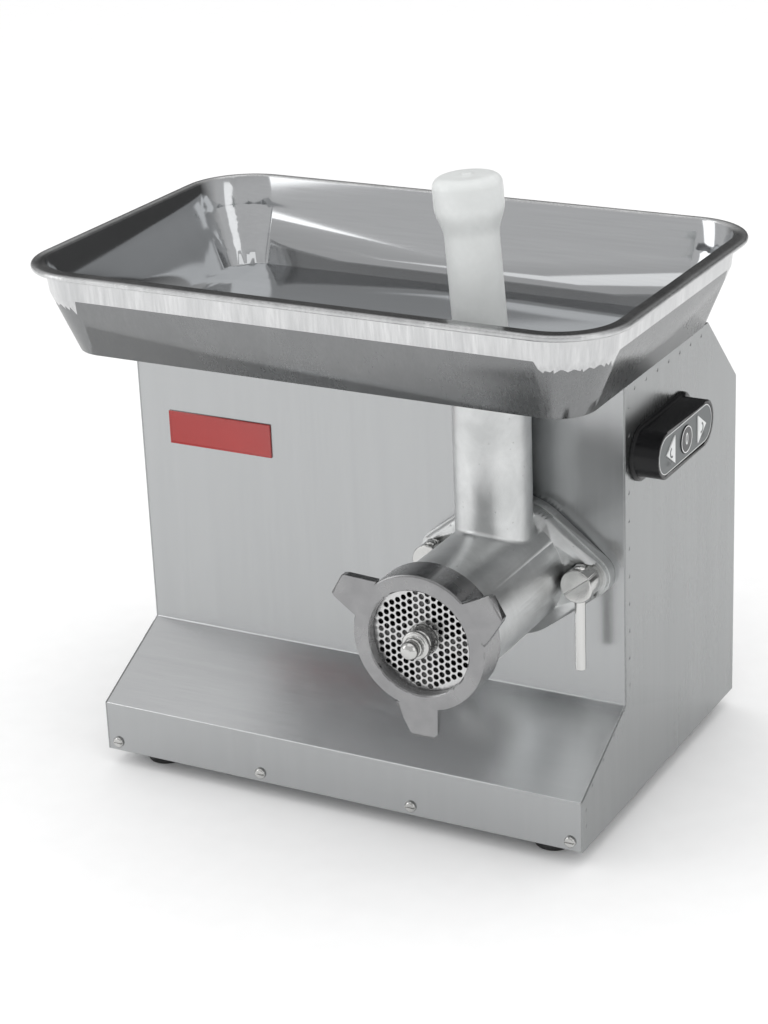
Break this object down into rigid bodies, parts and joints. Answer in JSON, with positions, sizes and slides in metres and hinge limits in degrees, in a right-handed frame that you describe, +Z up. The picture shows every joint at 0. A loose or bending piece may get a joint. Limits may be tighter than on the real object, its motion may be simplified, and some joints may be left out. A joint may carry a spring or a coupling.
{
  "type": "electric meat grinder",
  "caption": "Counter-top electric meat grinder: sheet-steel housing with gear motor, screw head with perforated plate and ring nut, feed tray, pusher and side switch.",
  "frame": {"origin": "centre of the overall bounding box in X and Y, at the table the rubber feet stand on", "axes": "+X to the right seen from the front, +Y towards the back, +Z up; the grinding head points to -Y"},
  "size_m": [0.538, 0.4598, 0.5587],
  "materials": {
    "panel_steel": "fine brushed",
    "base_steel": "primed",
    "zinc_fastener": "zinc plated",
    "polished_fastener": "polished, slotted",
    "foot_rubber": "matt",
    "red_plate": "glossy enamel, left blank",
    "tray_steel": "polished inside, brushed outside",
    "cast_steel": "blasted casting",
    "ring_steel": "machined",
    "plate_steel": "ground",
    "turned_steel": "turned",
    "lever_steel": "polished rod",
    "worm_steel": "cast and polished",
    "gear_steel": "oiled, machined",
    "bearing_steel": "ground",
    "seal_rubber": "smooth",
    "gearbox_cast": "as cast",
    "motor_paint": "satin paint",
    "lamination": "stacked sheet",
    "fan_plastic": "moulded",
    "switch_black": "gloss",
    "switch_grey": "satin film",
    "button_white": "satin",
    "button_black": "satin, ringed in white",
    "board_green": "lacquered board",
    "capacitor_can": "drawn can",
    "dark_plastic": "moulded",
    "pusher_white": "satin food-grade plastic"
  },
  "bodies": {
    "housing": {"left_side_panel": "panel_steel", "right_side_panel": "panel_steel", "front_cover": "panel_steel", "top_cover": "panel_steel", "rear_cover": "panel_steel", "base_plate": "base_steel", "cover_screws": "polished_fastener", "rubber_feet": "foot_rubber", "foot_bolts": "zinc_fastener", "foot_nuts": "zinc_fastener", "badge_plate": "red_plate", "head_body": "cast_steel", "mouth_flange": "cast_steel", "cutter_plate": "plate_steel", "plate_key": "plate_steel", "clamp_studs": "turned_steel", "output_bearings": "bearing_steel", "layshaft_bearings": "bearing_steel", "output_seal": "seal_rubber", "gearbox_housing": "gearbox_cast", "gearbox_cover": "gearbox_cast", "gearbox_stands": "base_steel", "motor_frame": "motor_paint", "stator": "lamination", "motor_front_bell": "motor_paint", "motor_rear_bell": "motor_paint", "motor_bearings": "bearing_steel", "fan_cowl": "fan_plastic", "motor_cradle": "base_steel", "switch_housing": "switch_black", "switch_face": "switch_grey", "control_board": "board_green", "run_capacitor": "capacitor_can", "contactor": "dark_plastic", "cable_gland": "dark_plastic", "gland_nut": "dark_plastic"},
    "tray": {"feed_tray": "tray_steel"},
    "pusher": {"pusher": "pusher_white"},
    "ring_nut": {"ring_nut": "ring_steel"},
    "worm_drive": {"worm": "worm_steel", "knife": "plate_steel", "spindle_bush": "turned_steel", "spindle_nut": "turned_steel", "spindle_stud": "turned_steel", "output_shaft": "gear_steel", "output_gear": "gear_steel"},
    "layshaft": {"layshaft": "gear_steel", "layshaft_gear": "gear_steel", "layshaft_pinion": "gear_steel"},
    "rotor": {"rotor_shaft": "gear_steel", "rotor_core": "lamination", "motor_pinion": "gear_steel", "cooling_fan": "fan_plastic"},
    "right_knob": {"right_knob": "turned_steel", "right_lever": "lever_steel"},
    "left_knob": {"left_knob": "turned_steel", "left_lever": "lever_steel"},
    "forward_button": {"forward_button": "button_white"},
    "reverse_button": {"reverse_button": "button_white"},
    "stop_button": {"stop_button": "button_black"}
  },
  "joints": [
    {"name": "tray_lift", "type": "slide", "parent": "housing", "child": "tray", "axis": [0, 0, 1], "range_m": [0, 0.12]},
    {"name": "pusher_slide", "type": "slide", "parent": "tray", "child": "pusher", "axis": [-0.0706, 0, 0.9975], "range_m": [0, 0.2]},
    {"name": "ring_nut_turn", "type": "hinge", "parent": "housing", "child": "ring_nut", "pos_m": [0.139, -0.1961, 0.223], "axis": [0, -1, 0], "range_deg": [0, 360]},
    {"name": "worm_spin", "type": "hinge", "parent": "housing", "child": "worm_drive", "pos_m": [0.139, -0.0991, 0.223], "axis": [0, 1, 0], "continuous": true},
    {"name": "layshaft_spin", "type": "hinge", "parent": "housing", "child": "layshaft", "pos_m": [0.044, 0.0059, 0.223], "axis": [0, 1, 0], "continuous": true},
    {"name": "rotor_spin", "type": "hinge", "parent": "housing", "child": "rotor", "pos_m": [-0.026, 0.0809, 0.223], "axis": [0, 1, 0], "continuous": true},
    {"name": "right_knob_turn", "type": "hinge", "parent": "housing", "child": "right_knob", "pos_m": [0.206, -0.0571, 0.223], "axis": [0, -1, 0], "range_deg": [-30, 150]},
    {"name": "left_knob_turn", "type": "hinge", "parent": "housing", "child": "left_knob", "pos_m": [0.072, -0.0571, 0.223], "axis": [0, 1, 0], "range_deg": [-30, 150]},
    {"name": "forward_press", "type": "slide", "parent": "housing", "child": "forward_button", "axis": [-1, 0, 0], "range_m": [0, 0.0012], "stiffness_N_per_m": 400},
    {"name": "reverse_press", "type": "slide", "parent": "housing", "child": "reverse_button", "axis": [-1, 0, 0], "range_m": [0, 0.0012], "stiffness_N_per_m": 400},
    {"name": "stop_press", "type": "slide", "parent": "housing", "child": "stop_button", "axis": [-1, 0, 0], "range_m": [0, 0.0012], "stiffness_N_per_m": 400}
  ],
  "couplings": [
    {"joint": "layshaft_spin", "follows": "worm_spin", "ratio": -2.1667},
    {"joint": "rotor_spin", "follows": "worm_spin", "ratio": 7.3125}
  ]
}
